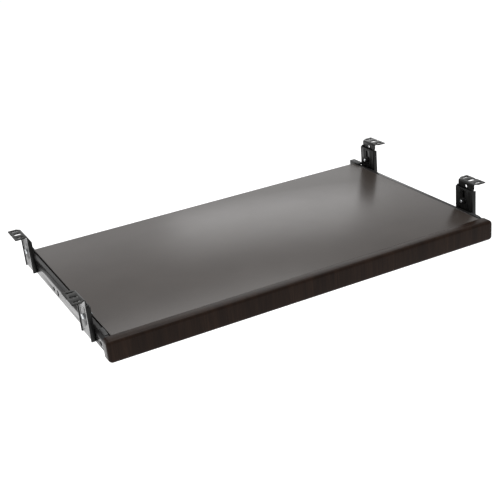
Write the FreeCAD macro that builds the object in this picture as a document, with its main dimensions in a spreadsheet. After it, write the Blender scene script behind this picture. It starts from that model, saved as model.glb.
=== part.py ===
import FreeCAD, Part
import os
import re
import Sketcher

# Keyboard tray that hangs under a desk top on four two-part brackets.
# Frame: +X to the right, +Y to the back, +Z up.  The origin is the centre of the
# four bracket plates, in the plane where they meet the underside of the desk.
# Right-hand pieces are modelled at +X and mirrored in the YZ plane.

SIZES = (
    # name, millimetres, meaning
    ("strip_overhang", 14, "front strip beyond each side of the panel"),
    ("strip_height", 36, "front strip, top to bottom"),
    ("strip_thickness", 19, "front strip, front to back"),
    ("strip_corner", 7, "rounding of the strip's four corners, seen from the front"),
    ("strip_round", 5.5, "rounding around the strip's front face"),
    ("panel_width", 672, "tray panel with its edge bands"),
    ("panel_depth", 389, "tray panel behind the strip, with its edge band"),
    ("panel_thickness", 25, "tray panel"),
    ("band_thickness", 0.8, "edge bands of the panel"),
    ("tray_drop", 48, "desk underside to tray top at the highest setting"),
    ("strip_reach", 226, "front of the strip to the middle of the brackets"),
    ("dowel_diameter", 8, "wooden dowels between strip and panel"),
    ("dowel_length", 30, "dowels"),
    ("dowel_in_strip", 11, "part of the dowel inside the strip"),
    ("dowel_near", 105, "inner dowels from the middle"),
    ("dowel_far", 285, "outer dowels from the middle"),
    ("slide_length", 400, "outer rail"),
    ("rail_drop", 1, "tray top to the top of the rails"),
    ("slide_height", 27.5, "outer rail, top to bottom"),
    ("slide_thickness", 12.7, "panel edge to the outside of the outer rail"),
    ("rail_sheet", 1.2, "rail sheet metal"),
    ("rail_front_gap", 2, "strip to the front of the rails"),
    ("rail_slope", 4, "sloped shoulder of the outer rail, each way"),
    ("lip_gap", 1.7, "panel edge to the lips of the outer rail"),
    ("lip_height", 2.6, "lips of the outer rail"),
    ("inner_length", 350, "inner rail"),
    ("screw_diameter", 3.5, "inner rail screws"),
    ("screw_head", 7, "head diameter of the inner rail screws"),
    ("screw_head_height", 1.4, "head of the inner rail screws"),
    ("screw_length", 15, "inner rail screws under the head"),
    ("screw_first", 40, "front of the inner rail to its first screw"),
    ("screw_pitch", 128, "inner rail screw to screw"),
    ("ball_diameter", 4, "bearing balls"),
    ("race_gap", 0.3, "play between balls and rails"),
    ("ball_pitch", 12, "ball to ball"),
    ("ball_count", 8, "balls in a row"),
    ("cage_length", 95, "ball cage"),
    ("cage_start", 127, "front of the outer rail to the cage with the tray pushed in"),
    ("cage_sheet", 0.7, "ball cage sheet"),
    ("cage_gap", 0.5, "inner rail to the web of the cage"),
    ("cage_lip", 3.1, "panel edge to the cage lips"),
    ("ball_play", 0.15, "cage hole around a ball, on the radius"),
    ("bracket_spacing", 300, "front to rear bracket"),
    ("bracket_sheet", 1.6, "bracket sheet metal"),
    ("channel_width", 46, "lower bracket, front to back"),
    ("channel_depth", 8, "lower bracket, across its flanges"),
    ("channel_height", 56.5, "lower bracket, top to bottom"),
    ("channel_below", 20.5, "tray top to the foot of the lower bracket"),
    ("channel_round", 5, "rounded ends of the lower bracket's flanges"),
    ("sliding_gap", 0.3, "lower bracket to upper bracket"),
    ("leg_width", 41, "leg of the upper bracket"),
    ("leg_depth", 5, "leg of the upper bracket, across its flanges"),
    ("leg_bend", 2.4, "outside of the bends between the leg and its flanges"),
    ("flange_free", 9, "plate to the top of the leg's flanges"),
    ("leg_below", 17.5, "tray top to the foot of the upper bracket's leg"),
    ("plate_width", 50, "plate of the upper bracket, front to back"),
    ("plate_reach", 22.4, "upper bracket, leg to the outer edge of its plate"),
    ("plate_corner", 3, "rounded corners of the plate"),
    ("plate_flare", 4, "stretch in which the plate widens from the leg to its own width"),
    ("bend_radius", 3.4, "outside of the bend between leg and plate"),
    ("desk_slot_length", 13, "slots for the desk screws, end to end"),
    ("desk_slot_width", 4.6, "front and rear slot for the desk screws"),
    ("middle_slot_width", 7.4, "middle slot for the desk screws"),
    ("desk_slot_pitch", 17, "slot to slot on one plate"),
    ("desk_slot_side", 11.6, "leg to the middle of the slots"),
    ("notch_width", 5, "notch in the outer edge of the plate"),
    ("notch_depth", 1.6, "notch in the outer edge of the plate"),
    ("leg_hole_diameter", 5.4, "hole in the leg above the lower bracket"),
    ("leg_hole_height", 39.5, "tray top to the hole in the leg"),
    ("clamp_diameter", 5, "clamp screw"),
    ("clamp_height", 13.5, "tray top to the clamp screw at the highest setting"),
    ("clamp_travel", 16, "height adjustment"),
    ("clamp_play", 0.5, "slot around the clamp screw, on the radius"),
    ("clamp_head", 9, "head diameter of the clamp screw"),
    ("clamp_head_height", 2.4, "head of the clamp screw"),
    ("clamp_tail", 1.2, "clamp screw beyond its nut"),
    ("washer_diameter", 11, "washer under the clamp nut"),
    ("washer_thickness", 1, "washer under the clamp nut"),
    ("nut_across", 8, "clamp nut across its flats"),
    ("nut_height", 4, "clamp nut"),
    ("rivet_diameter", 4, "rivets between lower bracket and outer rail"),
    ("rivet_head", 7, "rivet head"),
    ("rivet_head_height", 0.8, "rivet head inside the rail"),
    ("rivet_side", 12, "rivets from the middle of the bracket"),
    ("rib_side", 10.5, "ribs of the brackets from their middle"),
    ("rib_width", 3, "ribs of the brackets"),
    ("rib_height", 0.9, "ribs of the brackets"),
    ("rib_length", 30, "ribs of the brackets"),
    ("web_hole_diameter", 8, "holes in the outer rail"),
    ("web_hole_front", 10, "front of the outer rail to its front hole"),
    ("web_hole_middle", 236, "front of the outer rail to its middle hole"),
    ("web_slot_place", 214, "front of the outer rail to its upright slot"),
    ("web_slot_width", 6, "upright slot"),
    ("web_slot_length", 12, "upright slot"),
    ("guide_start", 3, "front of the outer rail to the front guide"),
    ("guide_length", 24, "front guide"),
    ("guide_height", 2.2, "front guide above the rail"),
    ("guide_width", 6, "front guide across"),
    ("stop_length", 28, "rear stop on the rail"),
    ("stop_height", 4, "rear stop above the rail"),
    ("stop_plate", 2.2, "rear stop behind the rail"),
    ("plastic_round", 1.2, "rounding of the plastic pieces"),
)

doc = FreeCAD.newDocument("KeyboardTray")
sheet = doc.addObject("Spreadsheet::Sheet", "Sizes")
for row, (name, size, meaning) in enumerate(SIZES, start=1):
    sheet.set("A%d" % row, name)
    sheet.set("B%d" % row, str(size))
    sheet.setAlias("B%d" % row, name)
    sheet.set("C%d" % row, meaning)
doc.recompute()

NAMES = re.compile(r"\b(%s)\b" % "|".join(entry[0] for entry in SIZES))

# Places that several pieces share, as expressions in the sheet's names
TRAY_TOP = "(-tray_drop)"
STRIP_FRONT = "(-strip_reach)"
PANEL_FRONT = "(-strip_reach + strip_thickness)"
RAIL_FRONT = "(-strip_reach + strip_thickness + rail_front_gap)"
PANEL_EDGE = "(panel_width / 2)"
STRIP_END = "(panel_width / 2 + strip_overhang)"
RAIL_OUTSIDE = "(panel_width / 2 + slide_thickness)"
WEB_OUTSIDE = "(panel_width / 2 + slide_thickness + bracket_sheet)"
LEG_TIPS = "(%s + sliding_gap)" % WEB_OUTSIDE
LEG_OUTSIDE = "(%s + leg_depth)" % LEG_TIPS
LEG_INSIDE = "(%s - bracket_sheet)" % LEG_OUTSIDE
SLIDE_TOP = "(-tray_drop - rail_drop)"
RAIL_MIDDLE = "(-tray_drop - rail_drop - slide_height / 2)"
BEND = "tan(22.5)"          # offset of a 45 degree bend, per unit of sheet

nodes = []                  # the pieces that are written out


def sized(expression):
    """The expression with each size looked up in the sheet."""
    return NAMES.sub(r"Sizes.\1", expression)


def value(expression):
    """The expression's present value."""
    return float(sheet.evalExpression(NAMES.sub(r"\1", expression)))


def bind(item, **expressions):
    for prop, expression in expressions.items():
        item.setExpression(prop.replace("__", "."), sized(expression))


def keep(item, label):
    item.Label = label
    nodes.append(item)
    return item


def new_body(label, y="0"):
    body = doc.addObject("PartDesign::Body", label)
    bind(body, Placement__Base__y=y)
    return keep(body, label)


def new_sketch(body, plane, offset):
    """A sketch on one of the body's origin planes, moved along its normal."""
    sketch = body.newObject("Sketcher::SketchObject", "Sketch")
    support = [f for f in body.Origin.OriginFeatures if f.Role == plane][0]
    sketch.AttachmentSupport = [(support, "")]
    sketch.MapMode = "FlatFace"
    bind(sketch, AttachmentOffset__Base__z=offset)
    return sketch


def fix_point(sketch, geometry, point, x, y):
    for kind, expression in (("DistanceX", x), ("DistanceY", y)):
        index = sketch.addConstraint(
            Sketcher.Constraint(kind, -1, 1, geometry, point, value(expression)))
        sketch.setExpression("Constraints[%d]" % index, sized(expression))


def polygon(sketch, points):
    """Closed outline with every corner bound to the sheet."""
    corners = [FreeCAD.Vector(value(x), value(y), 0) for x, y in points]
    count = len(corners)
    first = sketch.GeometryCount
    for i in range(count):
        sketch.addGeometry(Part.LineSegment(corners[i], corners[(i + 1) % count]), False)
    for i in range(count):
        sketch.addConstraint(Sketcher.Constraint(
            "Coincident", first + i, 2, first + (i + 1) % count, 1))
    for i, (x, y) in enumerate(points):
        fix_point(sketch, first + i, 1, x, y)


def rectangle(sketch, x0, y0, x1, y1):
    polygon(sketch, [(x0, y0), (x1, y0), (x1, y1), (x0, y1)])


def circle(sketch, x, y, diameter):
    centre = FreeCAD.Vector(value(x), value(y), 0)
    index = sketch.addGeometry(Part.Circle(centre, FreeCAD.Vector(0, 0, 1),
                                           value(diameter) / 2), False)
    fix_point(sketch, index, 3, x, y)
    constraint = sketch.addConstraint(
        Sketcher.Constraint("Diameter", index, value(diameter)))
    sketch.setExpression("Constraints[%d]" % constraint, sized(diameter))


def slot(sketch, ends, width):
    """Slot with round ends: ends are the two arc centres, lower or left one first."""
    (xa, ya), (xb, yb) = ends
    a = FreeCAD.Vector(value(xa), value(ya), 0)
    b = FreeCAD.Vector(value(xb), value(yb), 0)
    radius = value(width) / 2
    along = (b - a).normalize()
    side = FreeCAD.Vector(-along.y, along.x, 0) * radius
    first = sketch.GeometryCount
    sketch.addGeometry(Part.Arc(a + side, a - along * radius, a - side), False)
    sketch.addGeometry(Part.LineSegment(a - side, b - side), False)
    sketch.addGeometry(Part.Arc(b - side, b + along * radius, b + side), False)
    sketch.addGeometry(Part.LineSegment(b + side, a + side), False)
    for one, two in ((0, 1), (1, 2), (2, 3), (3, 0)):
        sketch.addConstraint(Sketcher.Constraint(
            "Tangent", first + one, 2, first + two, 1))
    for arc, (x, y) in ((0, ends[0]), (2, ends[1])):
        fix_point(sketch, first + arc, 3, x, y)
    constraint = sketch.addConstraint(Sketcher.Constraint("Radius", first, radius))
    sketch.setExpression("Constraints[%d]" % constraint, sized("%s / 2" % width))


def pad(body, sketch, length, back=False):
    feature = body.newObject("PartDesign::Pad", "Pad")
    feature.Profile = sketch
    feature.Reversed = back
    bind(feature, Length=length)
    doc.recompute()
    return feature


def pocket(body, sketch, depth, back=False):
    """Cut against the sketch's normal, or along it if back; it must remove metal."""
    before = body.Shape.Volume
    feature = body.newObject("PartDesign::Pocket", "Pocket")
    feature.Profile = sketch
    feature.Reversed = back
    bind(feature, Length=depth)
    doc.recompute()
    if not body.Shape.Volume < before - 1e-3:
        raise RuntimeError("%s: a pocket removes nothing" % body.Label)
    return feature


def fillet(body, radius, wanted):
    """Round the edges that the test picks."""
    base = body.Tip
    picked = ["Edge%d" % i for i, edge in enumerate(base.Shape.Edges, start=1)
              if wanted(edge)]
    if not picked:
        raise RuntimeError("%s: no edge to round" % body.Label)
    feature = body.newObject("PartDesign::Fillet", "Fillet")
    feature.Base = (base, picked)
    bind(feature, Radius=radius)
    doc.recompute()
    return feature


def lies(edge, **places):
    """True if both ends of the edge have these coordinates."""
    return len(edge.Vertexes) > 1 and all(
        abs(getattr(vertex.Point, axis) - place) < 1e-4
        for vertex in edge.Vertexes for axis, place in places.items())


def runs(edge, axis):
    """True for a straight edge along the axis."""
    if edge.Curve.TypeId != "Part::GeomLine":
        return False
    return abs(abs(getattr(edge.tangentAt(edge.FirstParameter), axis)) - 1) < 1e-6


def mirrored(source, label):
    copy = doc.addObject("Part::Mirroring", label)
    copy.Source = source
    copy.Normal = FreeCAD.Vector(1, 0, 0)
    return keep(copy, label)


def solid(kind, name, turn=None, **expressions):
    """A Part primitive with bound sizes; turn is an axis and an angle in degrees."""
    item = doc.addObject("Part::" + kind, name)
    if turn:
        item.Placement = FreeCAD.Placement(FreeCAD.Vector(), FreeCAD.Rotation(*turn))
    bind(item, **expressions)
    return item


def group(label, pieces):
    """Several separate solids in one node."""
    item = doc.addObject("Part::Compound", label)
    item.Links = pieces
    return keep(item, label)


ALONG_X = (FreeCAD.Vector(0, 1, 0), 90)
ALONG_Y = (FreeCAD.Vector(1, 0, 0), -90)
SCREW_PLACES = ["%s + screw_first + %d * screw_pitch" % (RAIL_FRONT, i) for i in range(3)]
DOWEL_PLACES = ["-dowel_far", "-dowel_near", "dowel_near", "dowel_far"]
DOWEL_HEIGHT = "(-tray_drop - panel_thickness / 2)"

# ---- Tray: panel, front strip, edge bands, dowels ------------------------------

panel = new_body("tray_panel")
sketch = new_sketch(panel, "XY_Plane", "%s - panel_thickness" % TRAY_TOP)
rectangle(sketch, "-panel_width / 2 + band_thickness", PANEL_FRONT,
          "panel_width / 2 - band_thickness", "%s + panel_depth - band_thickness" % PANEL_FRONT)
pad(panel, sketch, "panel_thickness")
sketch = new_sketch(panel, "XZ_Plane", "-%s" % PANEL_FRONT)
for place in DOWEL_PLACES:
    circle(sketch, place, DOWEL_HEIGHT, "dowel_diameter")
pocket(panel, sketch, "dowel_length - dowel_in_strip")
for sign, back in (("", False), ("-", True)):
    sketch = new_sketch(panel, "YZ_Plane", "%s(panel_width / 2 - band_thickness)" % sign)
    for place in SCREW_PLACES:
        circle(sketch, place, RAIL_MIDDLE, "screw_diameter")
    pocket(panel, sketch, "screw_length - rail_sheet - band_thickness", back)

strip = new_body("front_strip")
sketch = new_sketch(strip, "XZ_Plane", "-%s" % STRIP_FRONT)
rectangle(sketch, "-%s" % STRIP_END, "%s - strip_height" % TRAY_TOP, STRIP_END, TRAY_TOP)
pad(strip, sketch, "strip_thickness", back=True)
fillet(strip, "strip_corner", lambda edge: runs(edge, "y"))
fillet(strip, "strip_round", lambda edge: lies(edge, y=value(STRIP_FRONT)))
sketch = new_sketch(strip, "XZ_Plane", "-%s" % PANEL_FRONT)
for place in DOWEL_PLACES:
    circle(sketch, place, DOWEL_HEIGHT, "dowel_diameter")
pocket(strip, sketch, "dowel_in_strip", back=True)

keep(solid("Box", "RearBand", Length="panel_width - 2 * band_thickness",
           Width="band_thickness", Height="panel_thickness",
           Placement__Base__x="-panel_width / 2 + band_thickness",
           Placement__Base__y="%s + panel_depth - band_thickness" % PANEL_FRONT,
           Placement__Base__z="%s - panel_thickness" % TRAY_TOP), "rear_edge_band")

band = new_body("side_edge_band_right")
sketch = new_sketch(band, "YZ_Plane", "%s - band_thickness" % PANEL_EDGE)
rectangle(sketch, PANEL_FRONT, "%s - panel_thickness" % TRAY_TOP,
          "%s + panel_depth" % PANEL_FRONT, TRAY_TOP)
for place in SCREW_PLACES:
    circle(sketch, place, RAIL_MIDDLE, "screw_diameter")
pad(band, sketch, "band_thickness")
mirrored(band, "side_edge_band_left")

dowels = []
for place in DOWEL_PLACES:
    dowels.append(solid("Cylinder", "Dowel", turn=ALONG_Y, Radius="dowel_diameter / 2",
                        Height="dowel_length", Placement__Base__x=place,
                        Placement__Base__y="%s - dowel_in_strip" % PANEL_FRONT,
                        Placement__Base__z=DOWEL_HEIGHT))
group("strip_dowels", dowels)

# ---- Slides: inner rails, ball cages, outer rails --------------------------------

SLIDE_FOOT = "(-tray_drop - rail_drop - slide_height)"
# The balls run in the outer rail's corners, just past its lips: their distance from the
# panel edge, and how far they lie inside the top and foot of the outer rail
BALL_SIDE = "(lip_gap + rail_sheet + ball_diameter / 2)"
SHOULDER = "(slide_thickness - rail_slope - rail_sheet * (1 + %s))" % BEND
BALL_DEPTH = ("max(rail_sheet + ball_diameter / 2 + race_gap; "
              "%s - %s + (ball_diameter / 2 + race_gap) * sqrt(2))" % (BALL_SIDE, SHOULDER))
CAGE_WEB = "(%s + ball_diameter / 2 + ball_play)" % BALL_SIDE
INNER_DEPTH = "(%s - cage_gap)" % CAGE_WEB
INNER_INSET = "(%s + ball_diameter / 2 + race_gap)" % BALL_DEPTH


def side_profile(sketch, rows):
    """Outline across a rail: each row is the distance from the panel edge and a height."""
    polygon(sketch, [("%s + %s" % (PANEL_EDGE, out), height) for out, height in rows])


inner = new_body("inner_rail_right")
sketch = new_sketch(inner, "XZ_Plane", "-%s" % RAIL_FRONT)
INNER_TOP = "(%s - %s)" % (SLIDE_TOP, INNER_INSET)
INNER_FOOT = "(%s + %s)" % (SLIDE_FOOT, INNER_INSET)
side_profile(sketch, [
    ("0", INNER_FOOT), (INNER_DEPTH, INNER_FOOT),
    (INNER_DEPTH, "%s + rail_sheet" % INNER_FOOT),
    ("rail_sheet", "%s + rail_sheet" % INNER_FOOT),
    ("rail_sheet", "%s - rail_sheet" % INNER_TOP),
    (INNER_DEPTH, "%s - rail_sheet" % INNER_TOP),
    (INNER_DEPTH, INNER_TOP), ("0", INNER_TOP)])
pad(inner, sketch, "inner_length", back=True)
sketch = new_sketch(inner, "YZ_Plane", "%s + rail_sheet" % PANEL_EDGE)
for place in SCREW_PLACES:
    circle(sketch, place, RAIL_MIDDLE, "screw_diameter")
pocket(inner, sketch, "rail_sheet")
mirrored(inner, "inner_rail_left")

screws = []
for place in SCREW_PLACES:
    shank = solid("Cylinder", "ScrewShank", turn=ALONG_X, Radius="screw_diameter / 2",
                  Height="screw_length", Placement__Base__y=place, Placement__Base__z=RAIL_MIDDLE,
                  Placement__Base__x="%s + rail_sheet - screw_length" % PANEL_EDGE)
    head = solid("Cylinder", "ScrewHead", turn=ALONG_X, Radius="screw_head / 2",
                 Height="screw_head_height", Placement__Base__y=place,
                 Placement__Base__z=RAIL_MIDDLE, Placement__Base__x="%s + rail_sheet" % PANEL_EDGE)
    screw = doc.addObject("Part::MultiFuse", "RailScrew")
    screw.Shapes = [shank, head]
    screws.append(screw)
right_screws = group("rail_screws_right", screws)
mirrored(right_screws, "rail_screws_left")

cage = new_body("ball_cage_right")
sketch = new_sketch(cage, "XZ_Plane", "-(%s + cage_start)" % RAIL_FRONT)
CAGE_TOP = "(%s - %s + cage_sheet / 2)" % (SLIDE_TOP, BALL_DEPTH)
CAGE_FOOT = "(%s + %s - cage_sheet / 2)" % (SLIDE_FOOT, BALL_DEPTH)
CAGE_OUTSIDE = "%s + cage_sheet" % CAGE_WEB
side_profile(sketch, [
    ("cage_lip", CAGE_FOOT), (CAGE_OUTSIDE, CAGE_FOOT),
    (CAGE_OUTSIDE, CAGE_TOP), ("cage_lip", CAGE_TOP),
    ("cage_lip", "%s - cage_sheet" % CAGE_TOP), (CAGE_WEB, "%s - cage_sheet" % CAGE_TOP),
    (CAGE_WEB, "%s + cage_sheet" % CAGE_FOOT), ("cage_lip", "%s + cage_sheet" % CAGE_FOOT)])
pad(cage, sketch, "cage_length", back=True)
FIRST_BALL = "(%s + cage_start + (cage_length - (ball_count - 1) * ball_pitch) / 2)" % RAIL_FRONT
ball_rows = int(value("ball_count"))
for level in (CAGE_TOP, "(%s + cage_sheet)" % CAGE_FOOT):
    sketch = new_sketch(cage, "XY_Plane", level)
    circle(sketch, "%s + %s" % (PANEL_EDGE, BALL_SIDE), FIRST_BALL, "ball_diameter + 2 * ball_play")
    holes = pocket(cage, sketch, "cage_sheet")
    row = cage.newObject("PartDesign::LinearPattern", "BallHoles")
    row.Originals = [holes]
    axis = [f for f in cage.Origin.OriginFeatures if f.Role == "Y_Axis"][0]
    row.Direction = (axis, [""])
    bind(row, Length="(ball_count - 1) * ball_pitch", Occurrences="ball_count")
    cage.Tip = row
    doc.recompute()
mirrored(cage, "ball_cage_left")

balls = []
for level in ("%s - %s" % (SLIDE_TOP, BALL_DEPTH), "%s + %s" % (SLIDE_FOOT, BALL_DEPTH)):
    for i in range(ball_rows):
        balls.append(solid("Sphere", "Ball", Radius="ball_diameter / 2",
                           Placement__Base__x="%s + %s" % (PANEL_EDGE, BALL_SIDE),
                           Placement__Base__y="%s + %d * ball_pitch" % (FIRST_BALL, i),
                           Placement__Base__z=level))
mirrored(group("bearing_balls_right", balls), "bearing_balls_left")

outer = new_body("outer_rail_right")
sketch = new_sketch(outer, "XZ_Plane", "-%s" % RAIL_FRONT)
half = [  # from the lower lip up the outside, as distance and height above the foot
    ("lip_gap", "lip_height"), ("lip_gap", "0"), ("slide_thickness - rail_slope", "0"),
    ("slide_thickness", "rail_slope")]
inside = [
    ("slide_thickness - rail_sheet", "rail_slope + rail_sheet * %s" % BEND),
    ("slide_thickness - rail_slope - rail_sheet * %s" % BEND, "rail_sheet"),
    ("lip_gap + rail_sheet", "rail_sheet"), ("lip_gap + rail_sheet", "lip_height")]
rows = [(out, "%s + %s" % (SLIDE_FOOT, up)) for out, up in half]
rows += [(out, "%s - (%s)" % (SLIDE_TOP, up)) for out, up in reversed(half)]
rows += [(out, "%s - (%s)" % (SLIDE_TOP, up)) for out, up in reversed(inside)]
rows += [(out, "%s + %s" % (SLIDE_FOOT, up)) for out, up in inside]
side_profile(sketch, rows)
pad(outer, sketch, "slide_length", back=True)
sketch = new_sketch(outer, "YZ_Plane", RAIL_OUTSIDE)
for place in ("web_hole_front", "web_hole_middle"):
    circle(sketch, "%s + %s" % (RAIL_FRONT, place), RAIL_MIDDLE, "web_hole_diameter")
slot(sketch, [("%s + web_slot_place" % RAIL_FRONT,
               "%s %s (web_slot_length - web_slot_width) / 2" % (RAIL_MIDDLE, sign))
              for sign in "-+"], "web_slot_width")
RIVET_HEIGHT = "(-tray_drop - (rail_drop + rail_slope + channel_below) / 2)"
RIVET_PLACES = ["%s bracket_spacing / 2 %s rivet_side" % (end, side)
                for end in "-+" for side in "-+"]
for place in RIVET_PLACES:
    circle(sketch, place, RIVET_HEIGHT, "rivet_diameter")
pocket(outer, sketch, "rail_sheet")
mirrored(outer, "outer_rail_left")

# Plastic front guide, clipped on the rail, and rear stop behind it
guide = new_body("front_guide_right")
sketch = new_sketch(guide, "XY_Plane", SLIDE_TOP)
rectangle(sketch, "%s + lip_gap" % PANEL_EDGE, "%s + guide_start" % RAIL_FRONT,
          "%s + lip_gap + guide_width" % PANEL_EDGE,
          "%s + guide_start + guide_length" % RAIL_FRONT)
pad(guide, sketch, "guide_height")
fillet(guide, "plastic_round", lambda edge: lies(edge, z=value("%s + guide_height" % SLIDE_TOP)))
mirrored(guide, "front_guide_left")

stop = new_body("rear_stop_right")
sketch = new_sketch(stop, "YZ_Plane", "%s + lip_gap" % PANEL_EDGE)
RAIL_REAR = "(%s + slide_length)" % RAIL_FRONT
polygon(sketch, [
    ("%s - stop_length" % RAIL_REAR, SLIDE_TOP), (RAIL_REAR, SLIDE_TOP), (RAIL_REAR, SLIDE_FOOT),
    ("%s + stop_plate" % RAIL_REAR, SLIDE_FOOT),
    ("%s + stop_plate" % RAIL_REAR, "%s + stop_height" % SLIDE_TOP),
    ("%s - stop_length" % RAIL_REAR, "%s + stop_height" % SLIDE_TOP)])
pad(stop, sketch, "slide_thickness - lip_gap")
fillet(stop, "plastic_round", lambda edge: lies(edge, z=value("%s + stop_height" % SLIDE_TOP)))
mirrored(stop, "rear_stop_left")

# ---- Brackets ----------------------------------------------------------------------


def channel(body, foot, inner, outer, width, height):
    """Upright channel of bracket sheet, its web at one X and its flange tips at the other."""
    step = "+" if value(outer) > value(inner) else "-"
    face = "%s %s bracket_sheet" % (inner, step)
    sketch = new_sketch(body, "XY_Plane", foot)
    polygon(sketch, [
        (inner, "-%s / 2" % width), (outer, "-%s / 2" % width),
        (outer, "-%s / 2 + bracket_sheet" % width), (face, "-%s / 2 + bracket_sheet" % width),
        (face, "%s / 2 - bracket_sheet" % width), (outer, "%s / 2 - bracket_sheet" % width),
        (outer, "%s / 2" % width), (inner, "%s / 2" % width)])
    pad(body, sketch, height)


def ribs(sketch, width):
    """Two upright ribs above the rail."""
    for side in ("-rib_side", "rib_side"):
        rectangle(sketch, "%s - %s / 2" % (side, width), "%s + rib_width" % TRAY_TOP,
                  "%s + %s / 2" % (side, width), "%s + rib_width + rib_length" % TRAY_TOP)


for end, place in (("front", "-bracket_spacing / 2"), ("rear", "bracket_spacing / 2")):
    # Lower bracket: a channel, open outwards, on the outside of the rail
    lower = new_body("lower_bracket_%s_right" % end, y=place)
    CHANNEL_TIPS = "(%s + channel_depth)" % RAIL_OUTSIDE
    channel(lower, "%s - channel_below" % TRAY_TOP, RAIL_OUTSIDE, CHANNEL_TIPS,
            "channel_width", "channel_height")
    fillet(lower, "channel_round",
           lambda edge: runs(edge, "y") and lies(edge, x=value(CHANNEL_TIPS)))
    fillet(lower, "bracket_sheet / 2",
           lambda edge: runs(edge, "z") and lies(edge, x=value(RAIL_OUTSIDE)))
    # Height slot for the clamp screw, holes for the rivets
    sketch = new_sketch(lower, "YZ_Plane", WEB_OUTSIDE)
    slot(sketch, [("0", "%s + clamp_height" % TRAY_TOP),
                  ("0", "%s + clamp_height + clamp_travel" % TRAY_TOP)],
         "(clamp_diameter + 2 * clamp_play)")
    for side in "-+":
        circle(sketch, "%srivet_side" % side.replace("+", ""), RIVET_HEIGHT, "rivet_diameter")
    pocket(lower, sketch, "bracket_sheet")
    # Pressed ribs on the side of the tray
    sketch = new_sketch(lower, "YZ_Plane", "%s - rib_height" % RAIL_OUTSIDE)
    ribs(sketch, "rib_width")
    pad(lower, sketch, "rib_height")
    mirrored(lower, "lower_bracket_%s_left" % end)

    # Upper bracket: a shallow channel inside the lower one, and a plate under the desk
    upper = new_body("upper_bracket_%s_right" % end, y=place)
    FOOT = "(%s - leg_below)" % TRAY_TOP
    channel(upper, FOOT, LEG_OUTSIDE, LEG_TIPS, "leg_width", "-%s - flange_free" % FOOT)
    fillet(upper, "leg_bend",
           lambda edge: runs(edge, "z") and lies(edge, x=value(LEG_OUTSIDE)))
    sketch = new_sketch(upper, "XY_Plane", "-flange_free")
    rectangle(sketch, LEG_INSIDE, "-leg_width / 2", LEG_OUTSIDE, "leg_width / 2")
    pad(upper, sketch, "flange_free")
    sketch = new_sketch(upper, "XY_Plane", "-bracket_sheet")
    RIM = "(%s + plate_reach)" % LEG_INSIDE
    NECK = "(%s + bend_radius)" % LEG_INSIDE
    polygon(sketch, [
        (LEG_INSIDE, "-leg_width / 2"), (NECK, "-leg_width / 2"),
        ("%s + plate_flare" % NECK, "-plate_width / 2"), (RIM, "-plate_width / 2"),
        (RIM, "-notch_width / 2"),
        ("%s - notch_depth" % RIM, "-notch_width / 2 + notch_depth / 2"),
        ("%s - notch_depth" % RIM, "notch_width / 2 - notch_depth / 2"),
        (RIM, "notch_width / 2"), (RIM, "plate_width / 2"),
        ("%s + plate_flare" % NECK, "plate_width / 2"),
        (NECK, "leg_width / 2"), (LEG_INSIDE, "leg_width / 2")])
    pad(upper, sketch, "bracket_sheet")
    fillet(upper, "bend_radius",
           lambda edge: runs(edge, "y") and lies(edge, x=value(LEG_INSIDE), z=0))
    fillet(upper, "bend_radius - bracket_sheet",
           lambda edge: runs(edge, "y") and lies(
               edge, x=value(LEG_OUTSIDE), z=-value("bracket_sheet")))
    fillet(upper, "plate_corner", lambda edge: runs(edge, "z") and (
        lies(edge, x=value(RIM), y=value("plate_width / 2"))
        or lies(edge, x=value(RIM), y=value("-plate_width / 2"))))
    # Slots for the desk screws
    sketch = new_sketch(upper, "XY_Plane", "0")
    for step, width in ((-1, "desk_slot_width"), (0, "middle_slot_width"), (1, "desk_slot_width")):
        slot(sketch, [("%s + desk_slot_side %s (desk_slot_length - %s) / 2"
                       % (LEG_INSIDE, sign, width), "%d * desk_slot_pitch" % step)
                      for sign in "-+"], width)
    pocket(upper, sketch, "bracket_sheet")
    # Hole near the top and hole for the clamp screw
    sketch = new_sketch(upper, "YZ_Plane", LEG_OUTSIDE)
    circle(sketch, "0", "%s + leg_hole_height" % TRAY_TOP, "leg_hole_diameter")
    circle(sketch, "0", "%s + clamp_height" % TRAY_TOP, "clamp_diameter")
    pocket(upper, sketch, "bracket_sheet")
    # Grooves pressed inwards from the outside of the leg
    sketch = new_sketch(upper, "YZ_Plane", "%s - rib_height" % LEG_INSIDE)
    ribs(sketch, "(rib_width + bracket_sheet)")
    pad(upper, sketch, "rib_height")
    sketch = new_sketch(upper, "YZ_Plane", LEG_OUTSIDE)
    ribs(sketch, "rib_width")
    pocket(upper, sketch, "rib_height")
    mirrored(upper, "upper_bracket_%s_left" % end)

# ---- Fasteners of the brackets -------------------------------------------------------

CLAMP_LEVEL = "%s + clamp_height" % TRAY_TOP
WASHER_OUTSIDE = "(%s - sliding_gap)" % RAIL_OUTSIDE
NUT_OUTSIDE = "(%s - washer_thickness)" % WASHER_OUTSIDE
TAIL_END = "(%s - nut_height - clamp_tail)" % NUT_OUTSIDE


def disc(name, diameter, inside, length, place, level):
    return solid("Cylinder", name, turn=ALONG_X, Radius="%s / 2" % diameter, Height=length,
                 Placement__Base__x=inside, Placement__Base__y=place, Placement__Base__z=level)


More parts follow.
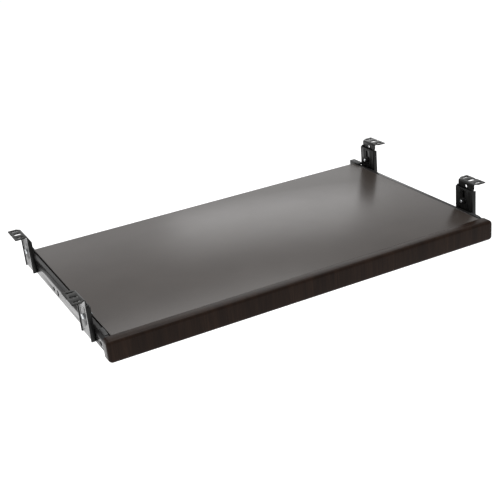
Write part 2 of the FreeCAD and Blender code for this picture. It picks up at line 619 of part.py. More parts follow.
clamp_screws, clamp_nuts, clamp_washers = [], [], []
for place in ("-bracket_spacing / 2", "bracket_spacing / 2"):
    shank = disc("ClampShank", "clamp_diameter", TAIL_END, "%s - %s" % (LEG_OUTSIDE, TAIL_END),
                 place, CLAMP_LEVEL)
    head = disc("ClampHead", "clamp_head", LEG_OUTSIDE, "clamp_head_height", place, CLAMP_LEVEL)
    screw = doc.addObject("Part::MultiFuse", "ClampScrew")
    screw.Shapes = [shank, head]
    clamp_screws.append(screw)
    hexagon = solid("Prism", "NutBlank", turn=ALONG_X, Circumradius="nut_across / 2 / cos(30)",
                    Height="nut_height", Placement__Base__x="%s - nut_height" % NUT_OUTSIDE,
                    Placement__Base__y=place, Placement__Base__z=CLAMP_LEVEL)
    hexagon.Polygon = 6
    washer = disc("WasherBlank", "washer_diameter", "%s - washer_thickness" % WASHER_OUTSIDE,
                  "washer_thickness", place, CLAMP_LEVEL)
    for blank, found, name in ((hexagon, clamp_nuts, "ClampNut"),
                               (washer, clamp_washers, "ClampWasher")):
        drilled = doc.addObject("Part::Cut", name)
        drilled.Base = blank
        drilled.Tool = disc("Bore", "clamp_diameter", TAIL_END,
                            "%s - %s" % (LEG_OUTSIDE, TAIL_END), place, CLAMP_LEVEL)
        found.append(drilled)

rivets = []
for place in RIVET_PLACES:
    body = disc("RivetShank", "rivet_diameter", "%s - rail_sheet" % RAIL_OUTSIDE,
                "rail_sheet + bracket_sheet", place, RIVET_HEIGHT)
    head = disc("RivetHead", "rivet_head", "%s - rail_sheet - rivet_head_height" % RAIL_OUTSIDE,
                "rivet_head_height", place, RIVET_HEIGHT)
    rivet = doc.addObject("Part::MultiFuse", "Rivet")
    rivet.Shapes = [body, head]
    rivets.append(rivet)


def both_sides(label, pieces):
    """The pieces and their mirror images in one node."""
    copies = []
    for piece in pieces:
        copy = doc.addObject("Part::Mirroring", "LeftPiece")
        copy.Source = piece
        copy.Normal = FreeCAD.Vector(1, 0, 0)
        copies.append(copy)
    return group(label, pieces + copies)


both_sides("clamp_screws", clamp_screws)
both_sides("clamp_nuts", clamp_nuts)
both_sides("clamp_washers", clamp_washers)
both_sides("bracket_rivets", rivets)

# ---- Check everything, then write one file for each piece --------------------------------

doc.recompute()
for item in doc.Objects:
    if "Invalid" in item.State or "Error" in item.State:
        raise RuntimeError("%s failed: %s" % (item.Label, item.State))
for item in nodes:
    if item.Shape.isNull() or not item.Shape.isValid() or not item.Shape.Solids:
        raise RuntimeError("%s has no valid solid" % item.Label)

os.makedirs("parts", exist_ok=True)
for item in nodes:
    item.Shape.exportStep(os.path.join("parts", item.Label + ".step"))
print("%d pieces written" % len(nodes))
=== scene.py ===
import math

import bmesh
import bpy
from mathutils import Matrix, Vector


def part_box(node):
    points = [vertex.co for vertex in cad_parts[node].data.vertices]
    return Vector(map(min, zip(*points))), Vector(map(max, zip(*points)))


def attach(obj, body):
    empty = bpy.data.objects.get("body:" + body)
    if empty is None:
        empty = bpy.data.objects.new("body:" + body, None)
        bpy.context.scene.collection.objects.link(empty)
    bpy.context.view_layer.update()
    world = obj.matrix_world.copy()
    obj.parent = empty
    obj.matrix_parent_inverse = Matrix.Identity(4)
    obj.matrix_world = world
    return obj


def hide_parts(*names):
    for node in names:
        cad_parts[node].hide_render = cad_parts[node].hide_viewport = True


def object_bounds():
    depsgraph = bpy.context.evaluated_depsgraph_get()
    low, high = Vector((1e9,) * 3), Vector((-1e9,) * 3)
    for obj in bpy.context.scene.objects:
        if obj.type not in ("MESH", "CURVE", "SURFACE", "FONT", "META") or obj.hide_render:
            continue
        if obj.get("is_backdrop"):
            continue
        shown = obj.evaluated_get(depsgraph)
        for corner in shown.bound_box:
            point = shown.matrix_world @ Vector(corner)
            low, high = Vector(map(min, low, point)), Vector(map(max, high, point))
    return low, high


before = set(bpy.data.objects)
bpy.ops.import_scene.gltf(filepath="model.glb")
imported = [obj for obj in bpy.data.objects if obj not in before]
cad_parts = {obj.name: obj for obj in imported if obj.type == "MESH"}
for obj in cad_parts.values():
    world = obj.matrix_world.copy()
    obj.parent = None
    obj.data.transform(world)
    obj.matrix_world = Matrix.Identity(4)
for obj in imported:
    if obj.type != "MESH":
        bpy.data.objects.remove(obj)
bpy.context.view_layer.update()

MM = 0.001
SIDES = ("right", "left")
ENDS = ("front", "rear")


# ---- Modelling by hand -----------------------------------------------------------

def deselect():
    if bpy.context.mode != "OBJECT":
        bpy.ops.object.mode_set(mode="OBJECT")
    bpy.ops.object.select_all(action="DESELECT")


def activate(piece):
    deselect()
    piece.select_set(True)
    bpy.context.view_layer.objects.active = piece


def settle(piece):
    """The piece's place goes into its mesh, its object to the origin."""
    activate(piece)
    bpy.ops.object.transform_apply(location=True, rotation=True, scale=True)
    return piece


def block(name, low, high):
    deselect()
    low, high = Vector(low), Vector(high)
    bpy.ops.mesh.primitive_cube_add(size=1, location=(low + high) / 2)
    piece = bpy.context.active_object
    piece.name = name
    piece.scale = high - low
    return settle(piece)


def rod(name, centre, radius, length, axis, vertices=32):
    deselect()
    turn = {"X": (0, math.pi / 2, 0), "Y": (math.pi / 2, 0, 0), "Z": (0, 0, 0)}[axis]
    bpy.ops.mesh.primitive_cylinder_add(vertices=vertices, radius=radius, depth=length,
                                        location=centre, rotation=turn)
    piece = bpy.context.active_object
    piece.name = name
    return settle(piece)


def sheet_strip(name, corners):
    """A flat rectangle with these four corners, for bent sheet metal."""
    deselect()
    bpy.ops.mesh.primitive_plane_add(size=1)
    piece = bpy.context.active_object
    piece.name = name
    order = sorted(piece.data.vertices, key=lambda v: (v.co.y, v.co.x))
    for vertex, corner in zip((order[0], order[1], order[3], order[2]), corners):
        vertex.co = corner
    return piece


def edit(piece, kind="EDGE"):
    activate(piece)
    bpy.ops.object.mode_set(mode="EDIT")
    bpy.ops.mesh.select_mode(type=kind)
    bpy.ops.mesh.select_all(action="DESELECT")


def pick(piece, kind, test):
    """In edit mode, selects the elements whose vertices all pass the test."""
    mesh = bmesh.from_edit_mesh(piece.data)
    found = 0
    for element in {"VERT": mesh.verts, "EDGE": mesh.edges, "FACE": mesh.faces}[kind]:
        corners = [element.co] if kind == "VERT" else [v.co for v in element.verts]
        chosen = all(test(corner) for corner in corners)
        element.select_set(chosen)
        found += chosen
    mesh.select_flush_mode()
    bmesh.update_edit_mesh(piece.data)
    return found


def near(value, target, slack=2e-5):
    return abs(value - target) < slack


def round_edges(piece, test, radius, segments=4, kind="EDGES"):
    element = "VERT" if kind == "VERTICES" else "EDGE"
    edit(piece, element)
    if not pick(piece, element, test):
        raise ValueError("nothing to round on " + piece.name)
    bpy.ops.mesh.bevel(offset=radius, offset_type="OFFSET", segments=segments,
                       profile=0.5, affect=kind, clamp_overlap=True)
    deselect()


def modify(piece, kind, **settings):
    activate(piece)
    modifier = piece.modifiers.new(kind, kind)
    for name, setting in settings.items():
        setattr(modifier, name, setting)
    bpy.ops.object.modifier_apply(modifier=modifier.name)


def cut(piece, *cutters):
    for cutter in cutters:
        modify(piece, "BOOLEAN", operation="DIFFERENCE", solver="EXACT", object=cutter)
        bpy.data.objects.remove(cutter)


def slot_cutter(centre, size, through):
    """A block with two opposite ends fully round: through is the axis it cuts along."""
    centre, half = Vector(centre), Vector(size) / 2
    cutter = block("cutter", centre - half, centre + half)
    width = min(size[i] for i in range(3) if i != through)
    edit(cutter, "EDGE")
    mesh = bmesh.from_edit_mesh(cutter.data)
    for edge in mesh.edges:
        a, b = (v.co for v in edge.verts)
        edge.select_set(abs(a[through] - b[through]) > 1e-6)
    bmesh.update_edit_mesh(cutter.data)
    bpy.ops.mesh.bevel(offset=width / 2 * 0.995, segments=8, affect="EDGES")
    deselect()
    return cutter


def clean(piece, angle=30.0, bevel=0.0):
    """Soft arris on the sharp edges, outward faces, smooth shading on the rounds."""
    edit(piece, "VERT")
    bpy.ops.mesh.select_all(action="SELECT")
    bpy.ops.mesh.remove_doubles(threshold=1e-6)
    bpy.ops.mesh.dissolve_limited(angle_limit=math.radians(0.5))
    bpy.ops.mesh.normals_make_consistent(inside=False)
    deselect()
    if bevel:
        modify(piece, "BEVEL", width=bevel, segments=2, limit_method="ANGLE",
               angle_limit=math.radians(40), harden_normals=False)
    activate(piece)
    bpy.ops.object.shade_smooth_by_angle(angle=math.radians(angle))
    deselect()


def mirror_copy(piece, name):
    """A copy with its own mesh on the other side of the plane x = 0."""
    activate(piece)
    bpy.ops.object.duplicate()
    copy = bpy.context.active_object
    copy.name = name
    copy.scale.x = -1
    settle(copy)
    edit(copy, "VERT")
    bpy.ops.mesh.select_all(action="SELECT")
    bpy.ops.mesh.normals_make_consistent(inside=False)
    deselect()
    return copy


def join(name, pieces):
    deselect()
    for piece in pieces:
        piece.select_set(True)
    bpy.context.view_layer.objects.active = pieces[0]
    bpy.ops.object.join()
    pieces[0].name = name
    deselect()
    return pieces[0]


# ---- Materials --------------------------------------------------------------------

def colour(code):
    """sRGB hex to linear RGBA."""
    parts = [int(code[i:i + 2], 16) / 255 for i in (1, 3, 5)]
    return [p / 12.92 if p <= 0.04045 else ((p + 0.055) / 1.055) ** 2.4 for p in parts] + [1.0]


def add(tree, kind, inputs=None, **settings):
    """One node: settings are its properties, inputs are values or other nodes' outputs."""
    node = tree.nodes.new("ShaderNode" + kind)
    for name, setting in settings.items():
        setattr(node, name, setting)
    for name, given in (inputs or {}).items():
        socket = node.inputs[name]
        if isinstance(given, bpy.types.NodeSocket):
            tree.links.new(given, socket)
        else:
            socket.default_value = given
    return node


def start_material(name):
    material = bpy.data.materials.new(name)
    material.use_nodes = True
    tree = material.node_tree
    tree.nodes.clear()
    place = add(tree, "TexCoord").outputs["Object"]
    return material, tree, place


def close_material(tree, **inputs):
    shader = add(tree, "BsdfPrincipled", {k.replace("_", " "): v for k, v in inputs.items()})
    add(tree, "OutputMaterial", {"Surface": shader.outputs["BSDF"]})
    return shader


def noise(tree, place, size_mm, detail=3.0, stretch=(1, 1, 1), rough=0.5):
    """Noise with features of about size_mm, drawn out along an axis by stretch."""
    scaled = add(tree, "Mapping", {"Vector": place, "Scale": [
        1 / (size_mm * MM * s) for s in stretch]})
    return add(tree, "TexNoise", {"Vector": scaled.outputs["Vector"], "Scale": 1.0,
                                  "Detail": detail, "Roughness": rough}).outputs["Fac"]


def ramp(tree, value, low, high, at=(0.3, 0.7)):
    node = add(tree, "ValToRGB", {"Fac": value})
    for element, where, shade in zip(node.color_ramp.elements, at, (low, high)):
        element.position = where
        element.color = shade if isinstance(shade, list) else (shade, shade, shade, 1)
    return node.outputs["Color"]


def bump(tree, height, depth_mm, strength):
    inputs = {"Height": height, "Distance": depth_mm * MM, "Strength": strength}
    return add(tree, "Bump", inputs).outputs["Normal"]


def melamine_laminate():
    """Melamine-faced board, black-brown, pressed against a fine pearl plate: a hard
    satin surface with a soft sheen and a 1 mm pearl that only shows at a low angle."""
    material, tree, place = start_material("melamine_laminate")
    tone = ramp(tree, noise(tree, place, 60, 4), colour("#332d29"), colour("#38322e"))
    pearl = noise(tree, place, 1.1, 2)
    rough = ramp(tree, noise(tree, place, 90, 2), 0.29, 0.32)
    close_material(tree, Base_Color=tone, Roughness=rough, IOR=1.5,
                   Normal=bump(tree, pearl, 0.0006, 0.3))
    return material


def espresso_foil():
    """Decor foil wrapped on the board of the front strip: dark espresso wood print with
    short upright grain and a satin lacquer."""
    material, tree, place = start_material("espresso_foil")
    grain = noise(tree, place, 1.6, 5, (1, 1, 28), 0.62)
    bands = noise(tree, place, 14, 3, (1, 1, 9))
    mixed = add(tree, "Math", {0: grain, 1: bands}, operation="MULTIPLY").outputs["Value"]
    tone = ramp(tree, mixed, colour("#170d08"), colour("#271a12"), (0.14, 0.42))
    rough = ramp(tree, grain, 0.3, 0.4)
    close_material(tree, Base_Color=tone, Roughness=rough, IOR=1.45,
                   Specular_IOR_Level=0.11, Normal=bump(tree, grain, 0.02, 0.5))
    return material


def edge_tape():
    """ABS edge banding in the board's black-brown, with the faint draw lines of its
    extrusion along the edge."""
    material, tree, place = start_material("edge_tape")
    lines = noise(tree, place, 0.9, 2, (60, 60, 1))
    tone = ramp(tree, lines, colour("#2b2725"), colour("#332f2c"))
    close_material(tree, Base_Color=tone, Roughness=ramp(tree, lines, 0.38, 0.48), IOR=1.5,
                   Normal=bump(tree, lines, 0.01, 0.5))
    return material


def coated_steel(name, dark, light, low, high, grain_mm, depth_mm):
    """Pressed steel with a black electro-coat: thin even paint that keeps a trace of the
    sheet's rolled texture and flows into a fine orange peel."""
    material, tree, place = start_material(name)
    peel = noise(tree, place, grain_mm, 3)
    cloud = noise(tree, place, 22, 4)
    close_material(tree, Base_Color=ramp(tree, cloud, colour(dark), colour(light)),
                   Roughness=ramp(tree, cloud, low, high), IOR=1.5,
                   Specular_IOR_Level=0.25, Normal=bump(tree, peel, depth_mm, 0.6))
    return material


def rolled_rail_steel():
    """Cold-rolled slide rail with a thin black coat: roller lines run along the rail and
    the coat is glossy enough to carry long bright reflections."""
    material, tree, place = start_material("rolled_rail_steel")
    lines = noise(tree, place, 0.7, 3, (1, 90, 1))
    cloud = noise(tree, place, 30, 3)
    close_material(tree, Base_Color=ramp(tree, cloud, colour("#1c1b1b"), colour("#272626")),
                   Metallic=0.15, Specular_IOR_Level=0.25,
                   Roughness=ramp(tree, lines, 0.24, 0.34),
                   Normal=bump(tree, lines, 0.006, 0.6))
    return material


def bright_zinc():
    """Zinc-plated screw steel, bright and slightly blue, with fine turning rings."""
    material, tree, place = start_material("bright_zinc")
    rings = noise(tree, place, 0.6, 3)
    close_material(tree, Base_Color=ramp(tree, rings, colour("#b9bdc0"), colour("#d5d8da")),
                   Metallic=1.0, Roughness=ramp(tree, rings, 0.22, 0.32),
                   Normal=bump(tree, rings, 0.01, 0.4))
    return material


def oiled_steel(name, low, high, rough):
    """Plain bearing steel with a film of grease that darkens it in clouds."""
    material, tree, place = start_material(name)
    film = noise(tree, place, 5, 3)
    close_material(tree, Base_Color=ramp(tree, film, colour(low), colour(high)),
                   Metallic=1.0, Roughness=ramp(tree, film, rough, rough + 0.1))
    return material


def moulded_nylon():
    """Injection-moulded black nylon with a fine spark-eroded texture."""
    material, tree, place = start_material("moulded_nylon")
    spark = noise(tree, place, 0.35, 2)
    close_material(tree, Base_Color=ramp(tree, noise(tree, place, 9, 2), colour("#0e0e0e"),
                                         colour("#161616")),
                   Roughness=ramp(tree, spark, 0.48, 0.6), IOR=1.53,
                   Normal=bump(tree, spark, 0.02, 0.4))
    return material


def beech():
    """Turned beech dowel: pale straw with short flecks along the grain."""
    material, tree, place = start_material("beech")
    flecks = noise(tree, place, 0.5, 3, (1, 9, 1))
    close_material(tree, Base_Color=ramp(tree, flecks, colour("#b98d5e"), colour("#d7b384")),
                   Roughness=0.6, Normal=bump(tree, flecks, 0.03, 0.5))
    return material


def studio_floor():
    """Seamless white studio floor."""
    material, tree, place = start_material("studio_floor")
    soft = noise(tree, place, 900, 2)
    close_material(tree, Base_Color=ramp(tree, soft, 0.92, 0.94), Roughness=0.7,
                   Emission_Color=(1, 1, 1, 1), Emission_Strength=0.36)
    return material


LAMINATE, FOIL, TAPE = melamine_laminate(), espresso_foil(), edge_tape()
BRACKET = coated_steel("coated_bracket_steel", "#101010", "#1a1a19", 0.26, 0.34, 0.7, 0.006)
FASTENER = coated_steel("black_oxide_steel", "#121212", "#1c1b1b", 0.3, 0.42, 0.5, 0.01)
RAIL, ZINC, NYLON, BEECH = rolled_rail_steel(), bright_zinc(), moulded_nylon(), beech()
CAGE = oiled_steel("pressed_cage_steel", "#6f7072", "#8a8b8c", 0.3)
BALL = oiled_steel("bearing_ball_steel", "#9a9b9d", "#b5b6b7", 0.12)


def dress(piece, material):
    piece.data.materials.clear()
    piece.data.materials.append(material)


def stand_for(piece, body, slot, material, *nodes):
    """Material, body, slot and the CAD nodes that the finished piece replaces; slot is not used.
    """
    dress(piece, material)
    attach(piece, body)
    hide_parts(*nodes)


# ---- Tray -------------------------------------------------------------------------

low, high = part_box("tray_panel")
panel = block("tray_panel_board", low, high)
clean(panel, bevel=0.25 * MM)
stand_for(panel, "tray", "panel_laminate", LAMINATE, "tray_panel")

low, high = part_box("front_strip")
strip = block("front_strip_board", low, high)
CORNER, FACE_ROUND = 7 * MM, 5.5 * MM
edit(strip, "EDGE")
mesh = bmesh.from_edit_mesh(strip.data)
for edge in mesh.edges:
    a, b = (v.co for v in edge.verts)
    edge.select_set(abs(a.y - b.y) > 1e-6)
bmesh.update_edit_mesh(strip.data)
bpy.ops.mesh.bevel(offset=CORNER, segments=10, affect="EDGES")
round_edges(strip, lambda co: near(co.y, low.y), FACE_ROUND, 8)
round_edges(strip, lambda co: near(co.y, high.y), 0.4 * MM, 2)
clean(strip, 35)
stand_for(strip, "tray", "strip_foil", FOIL, "front_strip")

# ---- Brackets ------------------------------------------------------------------------

SHEET = 1.6 * MM                 # bracket sheet
RIB_RISE, RIB_HALF, RIB_SIDE = 0.9 * MM, 1.5 * MM, 10.5 * MM
RIB_FROM, RIB_TO = 3 * MM, 33 * MM   # foot and top of the ribs above the tray top
CLAMP_UP = 13.5 * MM             # clamp screws above the tray top
HALF_LEG, FLANGE_FREE = 20.5 * MM, 9 * MM
PLATE_BEND, PLATE_FLARE = 3.4 * MM, 4 * MM
SLOT_SIDE, SLOT_PITCH, SLOT_LENGTH = 11.6 * MM, 17 * MM, 13 * MM
SLOT_WIDTHS = {-1: 4.6 * MM, 0: 7.4 * MM, 1: 4.6 * MM}
LEG_HOLE_UP, LEG_HOLE_RADIUS = 39.5 * MM, 2.7 * MM
RIVET_SIDE = 12 * MM             # rivets from the middle of the bracket
THROUGH = 12 * MM                # length of a cutter that goes right through
tray_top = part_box("tray_panel")[1].z
rail_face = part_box("outer_rail_right")[1].x
leg_face = rail_face + 6.9 * MM  # outside of the upper brackets' legs
bracket_mid = {end: sum(corner.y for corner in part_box("lower_bracket_%s_right" % end)) / 2
               for end in ENDS}


def press_ribs(piece, x, rise, mid_y):
    """Two upright ribs pressed out of the flat web at x: rise is how far, with its sign."""
    low_z, high_z = tray_top + RIB_FROM, tray_top + RIB_TO
    edges_y = [mid_y + s * (RIB_SIDE + t * RIB_HALF)
               for s in (-1, 1) for t in (-1.6, -0.7, 0.7, 1.6)]
    for place, normal in [((x, y, 0), (0, 1, 0)) for y in edges_y] + [
            ((x, 0, z), (0, 0, 1)) for z in (low_z, low_z + 1.2 * MM, high_z - 1.2 * MM, high_z)]:
        edit(piece, "VERT")
        bpy.ops.mesh.select_all(action="SELECT")
        bpy.ops.mesh.bisect(plane_co=place, plane_no=normal)
        deselect()
    edit(piece, "VERT")
    pick(piece, "VERT", lambda co: near(co.x, x) and low_z + 0.6 * MM < co.z < high_z - 0.6 * MM
         and abs(abs(co.y - mid_y) - RIB_SIDE) < 0.8 * RIB_HALF)
    bpy.ops.transform.translate(value=(rise, 0, 0))
    deselect()


def pull_edges(piece, test, *steps):
    """Extrudes the picked edges of a sheet through the steps."""
    edit(piece, "EDGE")
    if not pick(piece, "EDGE", test):
        raise ValueError("nothing to pull on " + piece.name)
    for step in steps:
        bpy.ops.mesh.extrude_region_move(TRANSFORM_OT_translate={"value": step})
    deselect()


def thicken(piece, thickness, towards):
    """Gives a sheet its thickness: towards is the side that its largest face grows to."""
    edit(piece, "FACE")
    bpy.ops.mesh.select_all(action="SELECT")
    bpy.ops.mesh.normals_make_consistent(inside=False)
    deselect()
    largest = max(piece.data.polygons, key=lambda face: face.area)
    along = largest.normal.dot(Vector(towards)) > 0
    modify(piece, "SOLIDIFY", thickness=thickness, offset=1 if along else -1,
           use_even_offset=True)


def upper_bracket(end):
    """Shallow channel with pressed grooves, bent outwards at its top into a slotted plate."""
    low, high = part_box("upper_bracket_%s_right" % end)
    mid_y = bracket_mid[end]
    inside, free = leg_face - SHEET, high.z - FLANGE_FREE
    half_plate, web = (high.y - low.y) / 2, HALF_LEG - SHEET
    piece = sheet_strip("upper_bracket_%s_right_sheet" % end, [
        (inside, mid_y - web, low.z), (inside, mid_y + web, low.z),
        (inside, mid_y + web, high.z), (inside, mid_y - web, high.z)])
    edit(piece, "VERT")
    bpy.ops.mesh.select_all(action="SELECT")
    bpy.ops.mesh.bisect(plane_co=(inside, mid_y, free), plane_no=(0, 0, 1))
    deselect()
    # flanges towards the rail below, the flat sheet at full width above
    for side in (1, -1):
        pull_edges(piece, lambda co: near(co.y, mid_y + side * web) and co.z < free + 1e-5,
                   (low.x - inside, 0, 0))
        pull_edges(piece, lambda co: near(co.y, mid_y + side * web) and near(co.x, inside)
                   and co.z > free - 1e-5, (0, side * SHEET, 0))
    # plate: out from the top of the leg, then wider than the leg
    edit(piece, "EDGE")
    pick(piece, "EDGE", lambda co: near(co.z, high.z))
    bpy.ops.mesh.extrude_region_move(TRANSFORM_OT_translate={"value": (PLATE_BEND, 0, 0)})
    bpy.ops.mesh.extrude_region_move(TRANSFORM_OT_translate={"value": (PLATE_FLARE, 0, 0)})
    bpy.ops.transform.resize(value=(1, half_plate / HALF_LEG, 1),
                             center_override=(inside, mid_y, high.z))
    bpy.ops.mesh.extrude_region_move(
        TRANSFORM_OT_translate={"value": (high.x - inside - PLATE_BEND - PLATE_FLARE, 0, 0)})
    deselect()
    press_ribs(piece, inside, -RIB_RISE, mid_y)
    for side in (1, -1):
        round_edges(piece, lambda co: near(co.x, inside) and co.z < free + 1e-5
                    and near(co.y, mid_y + side * web), 0.75 * MM, 4)
    round_edges(piece, lambda co: near(co.z, high.z) and near(co.x, inside),
                PLATE_BEND - 0.1 * MM, 5)
    round_edges(piece, lambda co: near(co.x, high.x) and near(co.z, high.z),
                3.2 * MM, 5, "VERTICES")
    round_edges(piece, lambda co: near(co.x, low.x), 2 * MM, 4, "VERTICES")
    thicken(piece, SHEET, (1, 0, -1))
    slots = [slot_cutter((inside + SLOT_SIDE, mid_y + step * SLOT_PITCH, high.z),
                         (SLOT_LENGTH, width, THROUGH), 2)
             for step, width in SLOT_WIDTHS.items()]
    notch = rod("notch", (high.x + 0.9 * MM, mid_y, high.z), 2.5 * MM, THROUGH, "Z", 24)
    hole = rod("hole", (leg_face, mid_y, tray_top + LEG_HOLE_UP), LEG_HOLE_RADIUS,
               THROUGH, "X", 28)
    clamp = rod("clamp", (leg_face, mid_y, tray_top + CLAMP_UP), 2.6 * MM, THROUGH, "X", 28)
    cut(piece, *slots, notch, hole, clamp)
    clean(piece, 40, 0.18 * MM)
    return piece


def lower_bracket(end):
    """Channel that is riveted to the rail, open outwards, with the height slot."""
    low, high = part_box("lower_bracket_%s_right" % end)
    mid_y = bracket_mid[end]
    piece = sheet_strip("lower_bracket_%s_right_sheet" % end, [
        (rail_face, low.y, low.z), (rail_face, high.y, low.z),
        (rail_face, high.y, high.z), (rail_face, low.y, high.z)])
    for side_y in (low.y, high.y):
        pull_edges(piece, lambda co: near(co.y, side_y), (high.x - rail_face, 0, 0))
    press_ribs(piece, rail_face, -RIB_RISE, mid_y)
    for side_y in (low.y, high.y):
        round_edges(piece, lambda co: near(co.y, side_y) and near(co.x, rail_face), 2.2 * MM, 4)
    round_edges(piece, lambda co: near(co.x, high.x), 4.6 * MM, 6, "VERTICES")
    thicken(piece, SHEET, (1, 0, 0))
    slot = slot_cutter((rail_face, mid_y, tray_top + CLAMP_UP + 8 * MM),
                       (14 * MM, 6 * MM, 22 * MM), 0)
    rivet_low, rivet_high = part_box("bracket_rivets")
    rivet_z = (rivet_low.z + rivet_high.z) / 2
    rivets = [rod("rivet_hole", (rail_face, mid_y + s * RIVET_SIDE, rivet_z),
                  2 * MM, 14 * MM, "X", 24) for s in (-1, 1)]
    cut(piece, slot, *rivets)
    clean(piece, 40, 0.18 * MM)
    return piece


for end in ENDS:
    for body, kind, make in (("hangers", "upper", upper_bracket),
                             ("carriage", "lower", lower_bracket)):
        piece = make(end)
        other = mirror_copy(piece, piece.name.replace("right", "left"))
        for side, bracket in (("right", piece), ("left", other)):
            stand_for(bracket, body, "black_bracket", BRACKET,
                      "%s_bracket_%s_%s" % (kind, end, side))

# ---- Clamp screws, nuts and washers ----------------------------------------------------

clamp_z = tray_top + CLAMP_UP
SHANK = 2.5 * MM                 # radius of the clamp screws
NUT_HEIGHT, NUT_ACROSS, WASHER_HEIGHT = 4 * MM, 8 * MM, 1 * MM
CLAMP_TAIL = 1.2 * MM            # clamp screw beyond its nut
HEAD_RADIUS, WASHER_RADIUS = 4.5 * MM, 5.5 * MM
RECESS_DEPTH, RECESS_REACH, RECESS_HALF = 1.3 * MM, 2.6 * MM, 0.55 * MM
THREAD_STEP, THREAD_ROOT = 0.4 * MM, 0.86
washer_out, nut_out = (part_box(node)[1].x for node in ("clamp_washers", "clamp_nuts"))
head_out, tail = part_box("clamp_screws")[1].x, nut_out - NUT_HEIGHT - CLAMP_TAIL


def across(name, radius, x0, x1, y, vertices=40):
    """A round bar along x."""
    return rod(name, ((x0 + x1) / 2, y, clamp_z), radius, x1 - x0, "X", vertices)


def clamp_screw(y):
    """Pan head with a cross recess on a threaded shank with a chamfered tip."""
    head = across("clamp_screw_head", HEAD_RADIUS, leg_face, head_out, y, 48)
    round_edges(head, lambda co: near(co.x, head_out), 1.3 * MM, 5)
    for turn in (45, -45):
        arm = block("cutter", (head_out - RECESS_DEPTH, y - RECESS_REACH, clamp_z - RECESS_HALF),
                    (head_out + 1 * MM, y + RECESS_REACH, clamp_z + RECESS_HALF))
        activate(arm)
        bpy.ops.transform.rotate(value=math.radians(turn), orient_axis="X",
                                 center_override=(head_out, y, clamp_z))
        settle(arm)
        cut(head, arm)
    shank = across("clamp_screw_shank", SHANK, tail, leg_face + 0.2 * MM, y, 32)
    # thread: rings cut along the part that sticks out of the nut
    grooves = 4
    for i in range(1, grooves + 1):
        edit(shank, "VERT")
        bpy.ops.mesh.select_all(action="SELECT")
        bpy.ops.mesh.bisect(plane_co=(tail + i * THREAD_STEP, y, clamp_z), plane_no=(1, 0, 0))
        deselect()
    for i in range(1, grooves + 1, 2):
        edit(shank, "VERT")
        pick(shank, "VERT", lambda co: near(co.x, tail + i * THREAD_STEP))
        bpy.ops.transform.resize(value=(1, THREAD_ROOT, THREAD_ROOT),
                                 center_override=(tail, y, clamp_z))
        deselect()
    round_edges(shank, lambda co: near(co.x, tail), 0.25 * MM, 1)
    return [head, shank]


def clamp_nut(y):
    """Hexagon nut with chamfered corners."""
    corner = NUT_ACROSS / 2 / math.cos(math.pi / 6)
    blank = across("clamp_nut", corner, nut_out - NUT_HEIGHT, nut_out, y, 6)
    for x in (nut_out - NUT_HEIGHT, nut_out):
        round_edges(blank, lambda co: near(co.x, x), 0.35 * MM, 2)
    cut(blank, across("bore", SHANK, nut_out - 6 * MM, nut_out + 2 * MM, y, 32))
    return [blank]


def clamp_washer(y):
    blank = across("clamp_washer", WASHER_RADIUS, washer_out - WASHER_HEIGHT, washer_out, y, 48)
    for x in (washer_out - WASHER_HEIGHT, washer_out):
        round_edges(blank, lambda co: near(co.x, x), 0.2 * MM, 2)
    cut(blank, across("bore", SHANK, washer_out - 3 * MM, washer_out + 2 * MM, y, 32))
    return [blank]


for node, slot_name, material, make in (("clamp_screws", "bright_zinc", ZINC, clamp_screw),
                                        ("clamp_nuts", "black_nuts", FASTENER, clamp_nut),
                                        ("clamp_washers", "black_nuts", FASTENER, clamp_washer)):
    loose = [part for end in ENDS for part in make(bracket_mid[end])]
    for part in loose:
        clean(part, 35)
    right_set = join(node + "_right", loose)
    left_set = mirror_copy(right_set, node + "_left")
    whole = join(node + "_turned", [right_set, left_set])
    stand_for(whole, "hangers", slot_name, material, node)

# ---- Slides ---------------------------------------------------------------------------

RAIL_SHEET = 1.2 * MM
RAIL_SLOPE, RAIL_LIP = 4 * MM, 2.6 * MM
HOLE_PLACES = (10 * MM, 236 * MM)    # round holes, from the front of the rail
HOLE_RADIUS = 4 * MM
UPRIGHT_SLOT_PLACE = 214 * MM


def outer_rail():
    """Rolled rail: sloped shoulders, ball races and lips, with its holes and slot."""
    low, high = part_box("outer_rail_right")
    lip, slope = low.x, RAIL_SLOPE
    piece = sheet_strip("outer_rail_right_rolled", [
        (high.x, low.y, low.z + slope), (high.x, high.y, low.z + slope),
        (high.x, high.y, high.z - slope), (high.x, low.y, high.z - slope)])
    for top in (1, -1):
        level = high.z - slope if top > 0 else low.z + slope
        pull_edges(piece, lambda co: near(co.z, level), (-slope, 0, top * slope),
                   (lip - high.x + slope, 0, 0), (0, 0, -top * RAIL_LIP))
    for x, z, radius in ((high.x, high.z - slope, 1.6), (high.x - slope, high.z, 1.6),
                         (lip, high.z, 0.9), (high.x, low.z + slope, 1.6),
                         (high.x - slope, low.z, 1.6), (lip, low.z, 0.9)):
        round_edges(piece, lambda co: near(co.x, x) and near(co.z, z), radius * MM, 4)
    thicken(piece, RAIL_SHEET, (-1, 0, 0))
    mid_z = (low.z + high.z) / 2
    holes = [rod("hole", (high.x, low.y + place, mid_z), HOLE_RADIUS, THROUGH, "X", 32)
             for place in HOLE_PLACES]
    holes.append(slot_cutter((high.x, low.y + UPRIGHT_SLOT_PLACE, mid_z),
                             (THROUGH, 6 * MM, 12 * MM), 0))
    cut(piece, *holes)
    clean(piece, 40, 0.12 * MM)
    return piece


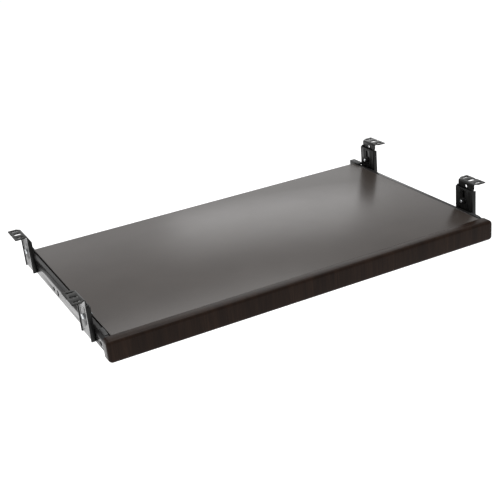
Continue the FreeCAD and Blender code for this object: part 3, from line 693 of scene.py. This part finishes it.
def front_guide():
    """Moulded guide on the rail: rounded top, its front end falling off."""
    low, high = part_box("front_guide_right")
    piece = block("front_guide_right_moulded", low, high)
    edit(piece, "VERT")
    bpy.ops.mesh.select_all(action="SELECT")
    bpy.ops.mesh.bisect(plane_co=(0, low.y + 7 * MM, 0), plane_no=(0, 1, 0))
    deselect()
    edit(piece, "VERT")
    pick(piece, "VERT", lambda co: near(co.y, low.y) and near(co.z, high.z))
    bpy.ops.transform.translate(value=(0, 0, -1.0 * MM))
    deselect()
    clean(piece, 35, 0.5 * MM)
    return piece


def rear_stop():
    """Moulded stop: a pad on the rail and a plate behind its end."""
    low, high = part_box("rear_stop_right")
    rail_low, rail_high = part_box("outer_rail_right")
    piece = block("rear_stop_right_moulded", (low.x, low.y, rail_high.z), high)
    plate = block("plate", (low.x, rail_high.y, low.z), (high.x, high.y, rail_high.z + 0.5 * MM))
    modify(piece, "BOOLEAN", operation="UNION", solver="EXACT", object=plate)
    bpy.data.objects.remove(plate)
    clean(piece, 35, 0.6 * MM)
    return piece


for make, slot_name, material, node in ((outer_rail, "black_steel", RAIL, "outer_rail_"),
                                        (front_guide, "black_plastic", NYLON, "front_guide_"),
                                        (rear_stop, "black_plastic", NYLON, "rear_stop_")):
    piece = make()
    other = mirror_copy(piece, piece.name.replace("right", "left"))
    for side, made in (("right", piece), ("left", other)):
        stand_for(made, "carriage", slot_name, material, node + side)

# ---- Finish of the CAD nodes that are shown as they are -------------------------------

for node, material in (("rear_edge_band", TAPE), ("strip_dowels", BEECH),
                       ("bracket_rivets", FASTENER)):
    dress(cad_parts[node], material)
for side in SIDES:
    for node, material in (("side_edge_band_", TAPE), ("inner_rail_", RAIL),
                           ("rail_screws_", FASTENER), ("ball_cage_", CAGE),
                           ("bearing_balls_", BALL)):
        dress(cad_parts[node + side], material)

# ---- Floor, light and camera ------------------------------------------------------------

FLOOR = -0.9
deselect()
bpy.ops.mesh.primitive_plane_add(size=60, location=(0, 20, FLOOR))
floor = bpy.context.active_object
floor.name = "floor"
dress(floor, studio_floor())
floor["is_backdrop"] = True

world = bpy.data.worlds.new("studio")
world.use_nodes = True
bpy.context.scene.world = world
world.node_tree.nodes["Background"].inputs["Color"].default_value = (1, 1, 1, 1)
world.node_tree.nodes["Background"].inputs["Strength"].default_value = 0.72


def softbox(name, place, target, width, height, power):
    light = bpy.data.lights.new(name, "AREA")
    light.shape, light.size, light.size_y, light.energy = "RECTANGLE", width, height, power
    lamp = bpy.data.objects.new(name, light)
    bpy.context.collection.objects.link(lamp)
    lamp.location = place
    lamp.rotation_mode = "QUATERNION"
    lamp.rotation_quaternion = (Vector(target) - Vector(place)).to_track_quat("-Z", "Y")
    lamp.visible_camera = False
    return lamp


softbox("top_light", (0, 0.6, 2.6), (0, 0, 0), 3.0, 2.4, 60)
softbox("back_light", (1.55, 2.9, 0.95), (0, 0, 0), 1.5, 1.3, 6)
softbox("left_light", (-0.62, 0.62, -0.42), (-0.35, -0.15, 0), 0.45, 0.35, 0.38)

# Camera: place, heading, tilt and roll
YAW, PITCH, ROLL = (math.radians(v) for v in (25.62, 23.62, -5.66))
forward = Vector((math.sin(YAW) * math.cos(PITCH), math.cos(YAW) * math.cos(PITCH),
                  -math.sin(PITCH)))
level = Vector((math.cos(YAW), -math.sin(YAW), 0))
upright = level.cross(forward)
right = math.cos(ROLL) * level + math.sin(ROLL) * upright
up = -math.sin(ROLL) * level + math.cos(ROLL) * upright
camera_data = bpy.data.cameras.new("camera")
camera_data.lens = 70.7
camera_data.clip_end = 200
camera = bpy.data.objects.new("camera", camera_data)
bpy.context.collection.objects.link(camera)
turn = Matrix((right, up, -forward)).transposed().to_4x4()
camera.matrix_world = Matrix.Translation((-0.687, -1.427, 0.611)) @ turn
bpy.context.scene.camera = camera
bpy.context.scene.view_settings.view_transform = "Standard"

low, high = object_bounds()
